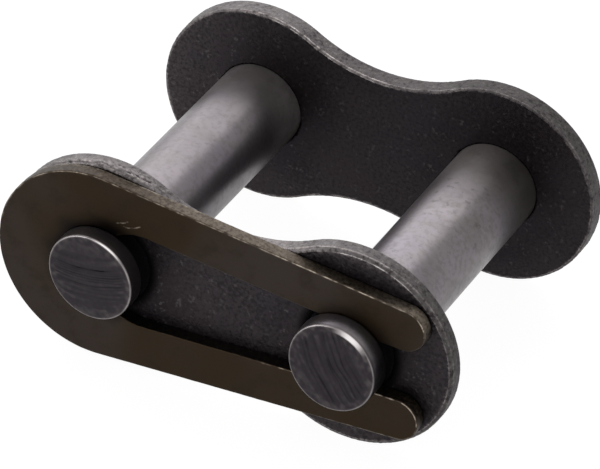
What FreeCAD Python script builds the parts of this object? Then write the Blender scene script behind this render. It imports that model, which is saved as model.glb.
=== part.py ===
import FreeCAD, Part
import math
import os

# Connecting link of a roller chain, in millimetres.
# X runs along the chain, Y across it and Z up, as the link stands on the round edges of its two plates.
# The origin is on the inner face of the pin plate, midway between the two pins.
# The pins point to -Y, towards the cover plate and the spring clip.

vector = FreeCAD.Vector
alongY = vector(0, 1, 0)

# Chain
pitch = 12.7                 # between the two pin axes
innerWidth = 14.2            # between the two plates, where the next links sit

# Plates
plateHeight = 10.5           # across the round ends, concentric with the pins
waistDepth = 1.6             # how far each hollow is cut in between the round ends
pinPlateThickness = 1.05
coverPlateThickness = 0.88
plateEdgeBreak = 0.1         # tumbled edge of the outline
holeEdgeBreak = 0.1          # the same at the mouths of the holes

# Pins
pinDiameter = 4.5
coverHoleClearance = 0.04    # on the radius: the cover plate slips on by hand
pinEndRound = 0.22           # rolled rim of the free end
leftCollarLength = 0.9       # left beyond the groove; the pins were not cropped quite alike
rightCollarLength = 1.06
grooveDepth = 0.35
grooveCornerBreak = 0.08     # the foot of each groove wall
rivetHeadSpread = 0.22       # how far the peened end stands out over the hole
rivetHeadHeight = 0.5
rivetRimRound = 0.36
rivetFlatWidth = 0.6         # flat ring between the rim and the dish
rivetDishDepth = 0.14        # shallow dish left by the riveting tool

# Spring clip
clipThickness = 0.68
clipPlateGap = 0.04          # the clip lies this far off the cover plate
grooveSideClearance = 0.04   # between the clip and each side of the groove
seatClearance = 0.03         # on the radius, between the clip's seats and the groove
clipInset = 0.23             # the closed end stays this far inside the plate's round end
closedEndOffset = 0.38       # the closed end's centre lies this far beyond the left pin
legWidth = 2.17              # beside the right pin, without the seat
entryClearance = 0.28        # on the radius, round the free end of a pin where the clip is put on
entryReach = 2.22            # from the left pin's axis to the centre of that round opening
seatNotchDepth = 0.22        # how far the right pin's seats are cut into the legs
mouthGrip = 0.5              # how far the lips stand in from the seat's radius
lipSlopeDegrees = 1.0        # the inner edge between seat and tip
tipReach = 0.96              # from the right pin's seat to the centre of each rounded tip
shoulderRound = 0.15         # where the opening meets the left pin's seat
seatCornerRound = 0.15
clipEdgeBreak = 0.06

# A round or a broken edge takes at most this share of the wall or land that carries it
wallShare = 0.4
landShare = 0.9
sameSpot = 1e-4              # points and faces closer than this are one

# Sizes that follow from those above
halfPitch = pitch / 2
headRadius = plateHeight / 2
pinRadius = pinDiameter / 2
grooveRadius = pinRadius - grooveDepth
seatRadius = grooveRadius + seatClearance
coverInnerY = -innerWidth
coverOuterY = coverInnerY - coverPlateThickness
clipBackY = coverOuterY - clipPlateGap
clipFrontY = clipBackY - clipThickness
grooveBackY = clipBackY + grooveSideClearance
grooveFrontY = clipFrontY - grooveSideClearance
pinPlateOuterY = pinPlateThickness
pinBackY = pinPlateOuterY + rivetHeadHeight


def onPlane(x, z):
    return vector(x, 0, z)


def arcThrough(start, middle, end):
    return Part.Arc(start, middle, end).toShape()


def arcAbout(centreX, centreZ, radius, fromAngle, toAngle):
    # An arc in the XZ plane, its angles in radians from +X towards +Z.
    points = []
    for angle in (fromAngle, (fromAngle + toAngle) / 2, toAngle):
        points.append(onPlane(centreX + radius * math.cos(angle), centreZ + radius * math.sin(angle)))
    return arcThrough(*points)


def edgesOnFace(solid, y):
    # The edges that lie in one flat face across Y.
    found = []
    for edge in solid.Edges:
        box = edge.BoundBox
        if max(abs(box.YMin - y), abs(box.YMax - y)) < sameSpot:
            found.append(edge)
    return found


def throughEdgesAt(solid, points):
    # The straight edges along Y that stand at the given places in the XZ plane.
    found = []
    for edge in solid.Edges:
        box = edge.BoundBox
        if box.YLength < sameSpot or max(box.XLength, box.ZLength) > sameSpot:
            continue
        if any(math.hypot(box.XMin - x, box.ZMin - z) < sameSpot for x, z in points):
            found.append(edge)
    return found


def extruded(edges, y, thickness):
    # A flat blank with its front face at y, growing to +Y.
    wire = Part.Wire(Part.__sortEdges__(edges))
    wire.translate(alongY * y)
    return Part.Face(wire).extrude(alongY * thickness)


def plateOutline():
    # Two round ends about the pins, joined above and below by one hollow arc that meets both without a corner.
    waist = headRadius - waistDepth
    hollowRadius = (halfPitch ** 2 + waist ** 2 - headRadius ** 2) / (2 * waistDepth)
    hollowCentre = waist + hollowRadius
    meetAngle = math.atan2(hollowCentre, -halfPitch)
    hollowAngle = math.atan2(-hollowCentre, halfPitch)
    top = arcAbout(0, hollowCentre, hollowRadius, hollowAngle, -math.pi - hollowAngle)
    right = arcAbout(halfPitch, 0, headRadius, meetAngle, -meetAngle)
    bottom = top.mirror(vector(0, 0, 0), vector(0, 0, 1))
    left = right.mirror(vector(0, 0, 0), vector(1, 0, 0))
    return [top, right, bottom, left]


def linkPlate(innerY, outerY, holeRadius):
    front = min(innerY, outerY)
    thickness = abs(outerY - innerY)
    blank = extruded(plateOutline(), front, thickness)
    edgeBreak = min(plateEdgeBreak, wallShare * thickness)
    blank = blank.makeChamfer(edgeBreak, edgesOnFace(blank, innerY) + edgesOnFace(blank, outerY))
    for pinX in (-halfPitch, halfPitch):
        hole = Part.makeCylinder(holeRadius, thickness, vector(pinX, front, 0), alongY)
        blank = blank.cut(hole)
    mouths = []
    for edge in edgesOnFace(blank, innerY) + edgesOnFace(blank, outerY):
        if abs(edge.Length - 2 * math.pi * holeRadius) < sameSpot:
            mouths.append(edge)
    return blank.makeChamfer(min(holeEdgeBreak, wallShare * thickness), mouths)


def chainPin(pinX, collarLength):
    # Turned section: rolled free end, collar, clip groove, plain shank and the peened end behind the pin plate.
    pinFrontY = grooveFrontY - collarLength

    def at(radius, y):
        return vector(pinX + radius, y, 0)

    def rim(radius, y, towardsBack, size):
        # A quarter round whose centre is (radius, y), from the side of the pin to its end face.
        slant = size * math.sqrt(0.5)
        middle = at(radius + slant, y + towardsBack * slant)
        return [at(radius + size, y), middle, at(radius, y + towardsBack * size)]

    endRound = min(pinEndRound, landShare * collarLength)
    footBreak = min(grooveCornerBreak, landShare * grooveDepth, wallShare * (grooveBackY - grooveFrontY))
    rimRadius = pinRadius + rivetHeadSpread
    rimRound = min(rivetRimRound, landShare * rivetHeadHeight)
    dishRadius = rimRadius - rimRound - rivetFlatWidth
    dishBall = (dishRadius ** 2 + rivetDishDepth ** 2) / (2 * rivetDishDepth)
    dishHalfAngle = math.asin(dishRadius / dishBall) / 2
    dishBottomY = pinBackY - rivetDishDepth
    dishMiddle = at(dishBall * math.sin(dishHalfAngle), dishBottomY + dishBall * (1 - math.cos(dishHalfAngle)))
    freeRim = rim(pinRadius - endRound, pinFrontY + endRound, -1, endRound)
    peenedRim = rim(rimRadius - rimRound, pinBackY - rimRound, 1, rimRound)
    section = [
        Part.makeLine(at(0, pinFrontY), freeRim[2]),
        arcThrough(freeRim[2], freeRim[1], freeRim[0]),
        Part.makeLine(freeRim[0], at(pinRadius, grooveFrontY)),
        Part.makeLine(at(pinRadius, grooveFrontY), at(grooveRadius + footBreak, grooveFrontY)),
        Part.makeLine(at(grooveRadius + footBreak, grooveFrontY), at(grooveRadius, grooveFrontY + footBreak)),
        Part.makeLine(at(grooveRadius, grooveFrontY + footBreak), at(grooveRadius, grooveBackY - footBreak)),
        Part.makeLine(at(grooveRadius, grooveBackY - footBreak), at(grooveRadius + footBreak, grooveBackY)),
        Part.makeLine(at(grooveRadius + footBreak, grooveBackY), at(pinRadius, grooveBackY)),
        Part.makeLine(at(pinRadius, grooveBackY), at(pinRadius, pinPlateOuterY)),
        Part.makeLine(at(pinRadius, pinPlateOuterY), at(rimRadius, pinPlateOuterY)),
        Part.makeLine(at(rimRadius, pinPlateOuterY), peenedRim[0]),
        arcThrough(peenedRim[0], peenedRim[1], peenedRim[2]),
        Part.makeLine(peenedRim[2], at(dishRadius, pinBackY)),
        arcThrough(at(dishRadius, pinBackY), dishMiddle, at(0, dishBottomY)),
        Part.makeLine(at(0, dishBottomY), at(0, pinFrontY)),
    ]
    return Part.Face(Part.Wire(section)).revolve(vector(pinX, 0, 0), alongY, 360)


def springClip():
    # The upper half of the outline is worked out from its tangents and the lower half mirrors it.
    leftPinX = -halfPitch
    rightPinX = halfPitch
    lip = math.radians(lipSlopeDegrees)

    # The slot lets a pin's end through at its round opening and narrows on that round's tangent towards
    # the right pin, whose seat is cut into its edge. The opening and the left pin's seat cross at the shoulder.
    entryX = leftPinX + entryReach
    entryRadius = pinRadius + entryClearance
    slotAtPin = seatRadius - seatNotchDepth
    slotTaper = math.asin((entryRadius - slotAtPin) / (rightPinX - entryX))
    slotStart = (entryX + entryRadius * math.sin(slotTaper), entryRadius * math.cos(slotTaper))
    shoulderReach = (entryReach ** 2 + seatRadius ** 2 - entryRadius ** 2) / (2 * entryReach)
    shoulder = (leftPinX + shoulderReach, math.sqrt(seatRadius ** 2 - shoulderReach ** 2))
    shoulderAngle = math.acos(shoulderReach / seatRadius)
    entryAngle = math.atan2(shoulder[1], shoulder[0] - entryX)
    seatAngle = math.pi / 2 - slotTaper + math.acos(slotAtPin / seatRadius)
    slotEnd = (rightPinX + seatRadius * math.cos(seatAngle), seatRadius * math.sin(seatAngle))

    # The outer edge leaves the round closed end on its tangent and passes the right pin one leg's width
    # outside the slot.
    backX = leftPinX - closedEndOffset
    closedEndRadius = headRadius - clipInset
    outerAtPin = slotAtPin + legWidth
    taper = math.asin((closedEndRadius - outerAtPin) / (rightPinX - backX))
    outward = (math.sin(taper), math.cos(taper))
    legStart = (backX + closedEndRadius * outward[0], closedEndRadius * outward[1])
    outerAtZero = outerAtPin / outward[1] + rightPinX * math.tan(taper)

    # Each tip is one full round between the outer edge and the mouth.
    mouth = seatRadius - mouthGrip
    tipX = rightPinX + seatRadius + tipReach
    tipRadius = (outerAtZero - tipX * math.tan(taper) - mouth) / (1 + 1 / outward[1])
    tipZ = mouth + tipRadius
    legEnd = (tipX + tipRadius * outward[0], tipZ + tipRadius * outward[1])

    # The lip leaves the tip on its tangent and ends where it meets the seat round the right pin.
    lipStart = (tipX - tipRadius * math.sin(lip), tipZ - tipRadius * math.cos(lip))
    reachX = lipStart[0] - rightPinX
    along = reachX * math.cos(lip) - lipStart[1] * math.sin(lip)
    away = reachX * math.sin(lip) + lipStart[1] * math.cos(lip)
    lipLength = along - math.sqrt(seatRadius ** 2 - away ** 2)
    lipEnd = (lipStart[0] - lipLength * math.cos(lip), lipStart[1] + lipLength * math.sin(lip))

    upper = [
        arcAbout(backX, 0, closedEndRadius, math.pi, math.pi / 2 - taper),
        Part.makeLine(onPlane(*legStart), onPlane(*legEnd)),
        arcAbout(tipX, tipZ, tipRadius, math.pi / 2 - taper, -math.pi / 2 - lip),
        Part.makeLine(onPlane(*lipStart), onPlane(*lipEnd)),
        arcAbout(rightPinX, 0, seatRadius, math.atan2(lipEnd[1], lipEnd[0] - rightPinX), seatAngle),
        Part.makeLine(onPlane(*slotEnd), onPlane(*slotStart)),
        arcAbout(entryX, 0, entryRadius, math.pi / 2 - slotTaper, entryAngle),
        arcAbout(leftPinX, 0, seatRadius, shoulderAngle, math.pi),
    ]
    lower = [edge.mirror(vector(0, 0, 0), vector(0, 0, 1)) for edge in upper]
    clip = extruded(upper + lower, clipFrontY, clipThickness)
    for corners, size in (([shoulder], shoulderRound), ([lipEnd, slotEnd], seatCornerRound)):
        both = corners + [(x, -z) for x, z in corners]
        clip = clip.makeFillet(size, throughEdgesAt(clip, both))
    edgeBreak = min(clipEdgeBreak, wallShare * min(clipThickness, seatCornerRound, shoulderRound))
    return clip.makeChamfer(edgeBreak, edgesOnFace(clip, clipFrontY) + edgesOnFace(clip, clipBackY))


pieces = {
    "pin_plate": linkPlate(0.0, pinPlateOuterY, pinRadius),
    "left_pin": chainPin(-halfPitch, leftCollarLength),
    "right_pin": chainPin(halfPitch, rightCollarLength),
    "cover_plate": linkPlate(coverInnerY, coverOuterY, pinRadius + coverHoleClearance),
    "spring_clip": springClip(),
}

os.makedirs("parts", exist_ok=True)
for name, shape in pieces.items():
    solid = shape.Solids[0]
    print(name, "valid", solid.isValid(), "solids", len(shape.Solids), "volume %.2f" % solid.Volume)
    solid.exportStep("parts/" + name + ".step")
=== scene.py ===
import math

import bmesh
import bpy
import numpy as np
from mathutils import Matrix, Vector


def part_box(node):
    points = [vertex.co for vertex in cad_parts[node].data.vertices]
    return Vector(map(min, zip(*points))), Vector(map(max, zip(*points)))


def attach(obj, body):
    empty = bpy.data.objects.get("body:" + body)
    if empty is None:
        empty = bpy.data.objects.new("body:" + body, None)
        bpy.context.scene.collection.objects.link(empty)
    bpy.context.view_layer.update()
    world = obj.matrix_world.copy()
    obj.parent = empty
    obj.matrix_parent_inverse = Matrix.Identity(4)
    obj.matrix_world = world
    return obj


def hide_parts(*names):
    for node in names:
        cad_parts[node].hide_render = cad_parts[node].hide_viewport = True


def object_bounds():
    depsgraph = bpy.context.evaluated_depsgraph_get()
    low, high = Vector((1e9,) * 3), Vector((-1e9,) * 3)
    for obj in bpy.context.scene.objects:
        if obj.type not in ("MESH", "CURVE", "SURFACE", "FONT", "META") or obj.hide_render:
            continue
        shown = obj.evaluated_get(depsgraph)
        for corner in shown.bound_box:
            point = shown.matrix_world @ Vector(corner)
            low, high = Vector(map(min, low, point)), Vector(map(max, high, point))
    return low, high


# Looks of a roller chain's connecting link. Lengths are in millimetres and become metres where a mesh, a
# lamp or the camera is placed. X runs from pin to pin, the cover plate and the clip are on the -Y side, and
# Z is up.
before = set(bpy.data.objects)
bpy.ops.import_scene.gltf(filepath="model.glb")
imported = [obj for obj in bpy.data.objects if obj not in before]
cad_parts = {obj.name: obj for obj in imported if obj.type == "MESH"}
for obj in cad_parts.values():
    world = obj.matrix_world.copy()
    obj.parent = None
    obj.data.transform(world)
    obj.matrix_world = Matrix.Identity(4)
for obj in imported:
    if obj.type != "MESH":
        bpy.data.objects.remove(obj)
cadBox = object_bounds()
millimetre = 0.001
weldDistance = 2e-7              # in metres
print("frame loaded:", sorted(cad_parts))


def boxOf(node):
    # The low and the high corner of a CAD node's box
    low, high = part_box(node)
    return np.array(low) / millimetre, np.array(high) / millimetre


def smoothNoise(points, wavelength, seed, waves=40, spread=(0.7, 1.6)):
    # A sum of plane waves in random directions, with lengths spread about the wavelength. One point in
    # space always gets the same value, about -1 to 1.
    random = np.random.default_rng(seed)
    direction = random.normal(size=(waves, 3))
    direction /= np.linalg.norm(direction, axis=1)[:, None]
    stride = 2 * math.pi / (wavelength * random.uniform(*spread, waves))
    start = random.uniform(0, 2 * math.pi, waves)
    total = np.zeros(points.shape[:-1])
    for k in range(waves):
        total += np.sin(points @ (direction[k] * stride[k]) + start[k])
    return total / math.sqrt(waves)


def patchesOf(points, seed, wavelength, mean, spread, least, most):
    # Noise about a mean, held between least and most
    return np.clip(mean + spread * smoothNoise(points, wavelength, seed), least, most)


def smoothStep(value, low, high):
    # 0 up to low and 1 from high on. At the share t of the way between them, 3 t squared less 2 t cubed.
    t = np.clip((value - low) / (high - low), 0, 1)
    return t * t * (3 - 2 * t)


def bell(value, width):
    # 1 where the value is 0, and down to 1/e at a distance of width
    return np.exp(-(value / width) ** 2)


def rounding(radius, rows):
    # A quarter round, as numbers that fall from radius to 0 and numbers that rise from 0 to radius
    turn = np.linspace(0, math.pi / 2, rows)
    return radius * (1 - np.sin(turn)), radius * (1 - np.cos(turn))


def stacked(*axes):
    # Arrays or single numbers as the coordinates of one array of points
    return np.stack(np.broadcast_arrays(*axes), -1)


def gridQuads(rows, columns, closed, first):
    # Corners of the cells of a grid of points. A closed grid joins its last column to its first.
    row = columns * np.arange(rows - 1)[:, None]
    column = np.arange(columns if closed else columns - 1)[None, :]
    beside = (column + 1) % columns
    corners = stacked(row + column, row + beside, row + columns + beside, row + columns + column)
    return corners.reshape(-1, 4) + first


def buildPiece(node, patches, finish):
    # Welds grids of points into one closed mesh, which stands for a CAD node. Each patch is (points, cut,
    # mark, closed), where the mark is wear and painted light. The finish reads cut and the mark at each
    # vertex:
    # cut is 0 on the flat faces and 1 on the walls, and the mark is above 0 where the metal is paler, from
    # wear and from painted highlights and painted light, and below 0 where it is darker, from cracks and
    # painted shade.
    points, cuts, wearAndPaintedLightLists, quads, first = [], [], [], [], 0
    for grid, cut, wearAndPaintedLight, closed in patches:
        rows, columns = grid.shape[:2]
        points.append(grid.reshape(-1, 3))
        cuts.append(np.broadcast_to(cut, (rows, columns)).reshape(-1))
        wearAndPaintedLightLists.append(np.broadcast_to(wearAndPaintedLight, (rows, columns)).reshape(-1))
        quads.append(gridQuads(rows, columns, closed, first))
        first += rows * columns
    name = node + "_steel"
    mesh = bpy.data.meshes.new(name)
    mesh.from_pydata(np.concatenate(points) * millimetre, [], np.concatenate(quads).tolist())
    for title, values in (("cut", cuts), ("wearAndPaintedLight", wearAndPaintedLightLists)):
        mark = mesh.attributes.new(title, "FLOAT", "POINT")
        mark.data.foreach_set("value", np.concatenate(values).astype(np.float32))
    welded = bmesh.new()
    welded.from_mesh(mesh)
    bmesh.ops.remove_doubles(welded, verts=welded.verts, dist=weldDistance)
    bmesh.ops.recalc_face_normals(welded, faces=welded.faces)
    openEdges = sum(1 for edge in welded.edges if not edge.is_manifold)
    for face in welded.faces:
        face.smooth = True
    welded.to_mesh(mesh)
    welded.free()
    mesh.materials.append(finish)
    piece = bpy.data.objects.new(name, mesh)
    bpy.context.scene.collection.objects.link(piece)
    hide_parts(node)
    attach(piece, "root")
    print(name, "faces", len(mesh.polygons), "open edges", openEdges)


class Field:
    # A socket that can be written into sums: each operator adds one Math node.
    def __init__(self, finish, socket):
        self.finish = finish
        self.socket = socket

    def combined(self, operation, first, second=0.0, clamp=False):
        settings = {"operation": operation, "use_clamp": clamp}
        return self.finish.node("ShaderNodeMath", settings, {0: first, 1: second})

    def __add__(self, other):
        return self.combined("ADD", self, other)

    def __radd__(self, other):
        return self.combined("ADD", other, self)

    def __sub__(self, other):
        return self.combined("SUBTRACT", self, other)

    def __rsub__(self, other):
        return self.combined("SUBTRACT", other, self)

    def __mul__(self, other):
        return self.combined("MULTIPLY", self, other)

    def __rmul__(self, other):
        return self.combined("MULTIPLY", other, self)

    def clipped(self):
        return self.combined("ADD", self, 0.0, True)

    def sized(self):
        return self.combined("ABSOLUTE", self)

    def root(self):
        return self.combined("SQRT", self)


class Finish:
    # The nodes of one material, or of the world.
    def __init__(self, owner):
        owner.use_nodes = True
        self.owner = owner
        self.tree = owner.node_tree
        self.tree.nodes.clear()

    def node(self, kind, settings=None, inputs=None, output=0):
        made = self.tree.nodes.new(kind)
        for key, value in (settings or {}).items():
            setattr(made, key, value)
        for key, value in (inputs or {}).items():
            if isinstance(value, Field):
                self.tree.links.new(value.socket, made.inputs[key])
            else:
                made.inputs[key].default_value = value
        return Field(self, made.outputs[output]) if len(made.outputs) else None

    def place(self):
        return self.node("ShaderNodeTexCoord", output="Object")

    def attribute(self, name):
        return self.node("ShaderNodeAttribute", {"attribute_name": name}, output="Fac")

    def moved(self, vector, shift):
        return self.node("ShaderNodeMapping", {"vector_type": "POINT"}, {"Vector": vector, "Location": shift})

    def noise(self, vector, grain, detail=2.0, roughness=0.5, distortion=0.0):
        # grain is the size in millimetres of one light or dark spot
        inputs = {"Vector": vector, "Scale": 0.5 / (grain * millimetre), "Detail": detail}
        inputs.update({"Roughness": roughness, "Distortion": distortion})
        return self.node("ShaderNodeTexNoise", {"noise_dimensions": "3D"}, inputs)

    def cells(self, vector, grain):
        # Distance from the middle of each cell, in cells of a size in millimetres
        inputs = {"Vector": vector, "Scale": 1 / (grain * millimetre)}
        return self.node("ShaderNodeTexVoronoi", {"voronoi_dimensions": "3D"}, inputs, "Distance")

    def axis(self, vector, index):
        # One coordinate in millimetres
        return self.node("ShaderNodeSeparateXYZ", {}, {0: vector}, index) * (1 / millimetre)

    def ramp(self, value, low, high, toLow=0.0, toHigh=1.0):
        # toLow up to low and toHigh from high on, with a smooth curve between
        inputs = {"Value": value, "From Min": low, "From Max": high, "To Min": toLow, "To Max": toHigh}
        return self.node("ShaderNodeMapRange", {"interpolation_type": "SMOOTHSTEP", "clamp": True}, inputs)

    def stroke(self, x, z, points, width):
        # 1 on a thin line through points, given as (x, z), and 0 from a distance of width on
        nearest = None
        for (startX, startZ), (endX, endZ) in zip(points, points[1:]):
            length = math.hypot(endX - startX, endZ - startZ)
            aimX, aimZ = (endX - startX) / length, (endZ - startZ) / length
            offX, offZ = x - startX, z - startZ
            along = offX * aimX + offZ * aimZ
            along = along.combined("MAXIMUM", along, 0.0)
            along = along.combined("MINIMUM", along, length)
            gapX, gapZ = offX - along * aimX, offZ - along * aimZ
            away = (gapX * gapX + gapZ * gapZ).root()
            nearest = away if nearest is None else away.combined("MINIMUM", nearest, away)
        return self.ramp(nearest, width, 0.0)

    def mixed(self, share, first, second):
        # The share is held between 0 and 1.
        settings = {"data_type": "RGBA", "blend_type": "MIX", "clamp_factor": True}
        colours = [value if isinstance(value, Field) else (*value, 1) for value in (first, second)]
        return self.node("ShaderNodeMix", settings, {0: share, 6: colours[0], 7: colours[1]}, 2)

    def layer(self, below, field, low, high, share, colour):
        # Lays a share of a colour over what is below it, where the field has gone from low to high
        return self.mixed(self.ramp(field, low, high) * share, below, colour)

    def bumped(self, height, depth):
        # depth is the height in millimetres that a value of 1 stands for
        inputs = {"Height": height, "Strength": 1.0, "Distance": depth * millimetre}
        return self.node("ShaderNodeBump", {}, inputs)

    def finished(self, colour, roughness, metallic, normal):
        inputs = {"Base Color": colour, "Roughness": roughness.clipped()}
        inputs.update({"Metallic": metallic, "Normal": normal})
        shader = self.node("ShaderNodeBsdfPrincipled", {}, inputs)
        self.node("ShaderNodeOutputMaterial", {}, {"Surface": shader})
        return self.owner


leftPinLow, leftPinHigh = boxOf("left_pin")
rightPinLow, rightPinHigh = boxOf("right_pin")
leftPinX = (leftPinLow[0] + leftPinHigh[0]) / 2
rightPinX = (rightPinLow[0] + rightPinHigh[0]) / 2
halfPitch = (rightPinX - leftPinX) / 2

# In the three finishes a noise is (grain, detail, roughness, distortion), a shift moves one noise away from
# the others, and a layer is (low, high, share, colour), as in Finish.layer. Names that end in Ramp are
# (low, high) or (low, high, value at low, value at high).

# Plates: blanked from strip, heat treated to a charcoal grey and peened, with a paler, torn edge
plateFinish = {
    "grain": (0.09, 3.0, 0.65),
    "coarse": (0.27, 2.0, 0.6),
    "blotch": (1.5, 3.0, 0.55),
    "hue": (2.2, 3.0, 0.6),
    "hueShift": (0.03, 0.02, 0.01),
    "faceDark": (0.0145, 0.0120, 0.0142),
    "face": (0.36, 0.56, 1.0, (0.0235, 0.0195, 0.0225)),
    "faceWarm": (0.52, 0.66, 0.4, (0.0270, 0.0195, 0.0185)),
    "faceCold": (0.48, 0.34, 0.4, (0.0205, 0.0175, 0.0235)),
    "faceSpeck": (0.62, 0.76, 0.7, (0.070, 0.064, 0.067)),
    "faceBlotch": 0.4,           # how far the blotches move the first layer
    "speckPatch": 0.8,           # how far the coarse noise gathers the specks
    "rimRamp": (3.0, 5.0),       # distance from a pin's axis over which the face grows paler, as painted light towards the rims
    "rimWander": 2.5,
    "rimGrainRamp": (0.35, 0.60, 0.3, 1.3),
    "rimShare": 0.3,
    "paintedRimLight": (0.044, 0.038, 0.041),
    "edgeDark": (0.036, 0.031, 0.032),
    "edge": (0.30, 0.52, 1.0, (0.092, 0.083, 0.084)),
    "edgePale": (0.56, 0.74, 0.55, (0.21, 0.20, 0.195)),
    "edgePatch": 0.5,
    "edgePalePatch": 0.4,
    # A ramp and a pale colour for wear and painted light, near white for painted highlights and near black
    # for painted shade
    "paleGrainRamp": (0.36, 0.6, 0.25, 1.0),
    "wearAndPaintedLight": (0.30, 0.268, 0.262),
    "shine": (0.85, 0.83, 0.82),
    "paintedShade": (0.004, 0.0035, 0.0035),
    "faceRoughness": 0.45,
    "edgeRoughness": 0.5,
    "paintedShadeRoughness": 0.6,        # added in full where the painted shade is black
    "grainRoughness": 0.25,
    "grainDepth": 0.012,
    "pitSize": 0.144,
    "pitRamp": (0.0, 0.55),
    "pitShare": 0.4,             # of the grain's depth
    "metallic": 0.95,
}


def plateSteel(size):
    made = Finish(bpy.data.materials.new("plateSteel"))
    place = made.place()
    cut = made.attribute("cut")
    wearAndPaintedLight = made.attribute("wearAndPaintedLight")
    grain = made.noise(place, *size["grain"])
    coarse = made.noise(place, *size["coarse"]) - 0.5
    blotch = made.noise(place, *size["blotch"]) - 0.5
    hue = made.noise(made.moved(place, size["hueShift"]), *size["hue"])
    face = made.layer(size["faceDark"], grain + blotch * size["faceBlotch"], *size["face"])
    face = made.layer(face, hue, *size["faceWarm"])
    face = made.layer(face, hue, *size["faceCold"])
    face = made.layer(face, grain + coarse * size["speckPatch"], *size["faceSpeck"])
    # Painted light: the faces are paler away from the pins, towards the rims of the round ends
    fromPinX, z = made.axis(place, 0).sized() - halfPitch, made.axis(place, 2)
    fromPin = (fromPinX * fromPinX + z * z).root() + blotch * size["rimWander"]
    rim = made.ramp(fromPin, *size["rimRamp"]) * made.ramp(grain, *size["rimGrainRamp"])
    face = made.mixed(rim * size["rimShare"], face, size["paintedRimLight"])
    edge = made.layer(size["edgeDark"], grain + coarse * size["edgePatch"], *size["edge"])
    edge = made.layer(edge, grain + coarse * size["edgePalePatch"], *size["edgePale"])
    bright = made.ramp(grain, *size["paleGrainRamp"])
    colour = made.mixed(cut, face, edge)
    # Paler with wear and painted light, near white with painted highlights and near black with painted shade
    colour = made.mixed(wearAndPaintedLight * bright, colour, size["wearAndPaintedLight"])
    colour = made.mixed((wearAndPaintedLight - 1.0) * bright, colour, size["shine"])
    colour = made.mixed(wearAndPaintedLight * -1.0, colour, size["paintedShade"])
    roughness = cut * (size["edgeRoughness"] - size["faceRoughness"]) + size["faceRoughness"]
    roughness = roughness + (grain - 0.5) * size["grainRoughness"]
    roughness = roughness + (wearAndPaintedLight * -size["paintedShadeRoughness"]).clipped()
    pit = made.ramp(made.cells(place, size["pitSize"]), *size["pitRamp"])
    normal = made.bumped(grain + pit * size["pitShare"], size["grainDepth"])
    return made.finished(colour, roughness, size["metallic"], normal)


# Clip: smooth tempered strip with a brown oxide, paler on its sheared edge
clipFinish = {
    "grain": (0.08, 3.0, 0.6),
    "drift": (4.5, 2.0, 0.5),
    "cloud": (1.2, 2.0, 0.5),
    "stain": (0.6, 3.0, 0.6),
    "faceWarm": (0.0262, 0.0178, 0.0100),
    "faceCool": (0.38, 0.62, 1.0, (0.0345, 0.0268, 0.0230)),
    "face": (0.3, 0.8, 0.4, (0.0285, 0.0200, 0.0140)),
    "faceDim": (0.48, 0.72, 0.4, (0.0175, 0.0122, 0.0088)),
    "stainGrain": 0.3,           # how far the grain frays the stains
    "scratches": (
        ((-5.55, 2.86), (-5.22, 2.97), (-4.98, 3.12)),
        ((-5.16, 2.80), (-4.92, 2.80), (-4.58, 2.93), (-4.32, 3.10)),
    ),
    "scratchWidth": 0.055,
    "scratchRamp": (0.38, 0.62, 0.1, 1.0),
    "scratchShare": 0.36,
    "edgeDark": (0.019, 0.014, 0.010),
    "edge": (0.34, 0.56, 1.0, (0.042, 0.033, 0.025)),
    "edgePale": (0.56, 0.76, 0.5, (0.13, 0.11, 0.09)),
    "paleGrainRamp": (0.3, 0.6, 0.4, 1.0),
    # pale cream for the scratches, for the rubbed edges and for the painted highlights on them
    "wearAndPaintedLight": (0.52, 0.445, 0.365),
    # near black, for the painted shadow and painted shade
    "paintedShade": (0.0045, 0.0035, 0.0040),
    "roughness": 0.42,
    "edgeRoughness": 0.1,        # added on the edge
    "grainRoughness": 0.15,
    "grainDepth": 0.002,
    "metallic": 1.0,
}


def clipSteel(size):
    made = Finish(bpy.data.materials.new("clipSteel"))
    place = made.place()
    cut = made.attribute("cut")
    wearAndPaintedLight = made.attribute("wearAndPaintedLight")
    grain = made.noise(place, *size["grain"])
    stain = made.noise(place, *size["stain"]) + (grain - 0.5) * size["stainGrain"]
    face = made.layer(size["faceWarm"], made.noise(place, *size["drift"]), *size["faceCool"])
    face = made.layer(face, made.noise(place, *size["cloud"]), *size["face"])
    face = made.layer(face, stain, *size["faceDim"])
    x, z = made.axis(place, 0), made.axis(place, 2)
    scratch = sum(made.stroke(x, z, points, size["scratchWidth"]) for points in size["scratches"])
    scratch = (scratch * made.ramp(grain, *size["scratchRamp"])).clipped() * size["scratchShare"]
    face = made.mixed(scratch, face, size["wearAndPaintedLight"])
    edge = made.layer(size["edgeDark"], grain, *size["edge"])
    edge = made.layer(edge, grain, *size["edgePale"])
    colour = made.mixed(cut, face, edge)
    colour = made.mixed(wearAndPaintedLight * made.ramp(grain, *size["paleGrainRamp"]), colour, size["wearAndPaintedLight"])
    colour = made.mixed(wearAndPaintedLight * -1.0, colour, size["paintedShade"])
    roughness = (grain - 0.5) * size["grainRoughness"] + cut * size["edgeRoughness"] + size["roughness"]
    return made.finished(colour, roughness, size["metallic"], made.bumped(grain, size["grainDepth"]))
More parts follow.
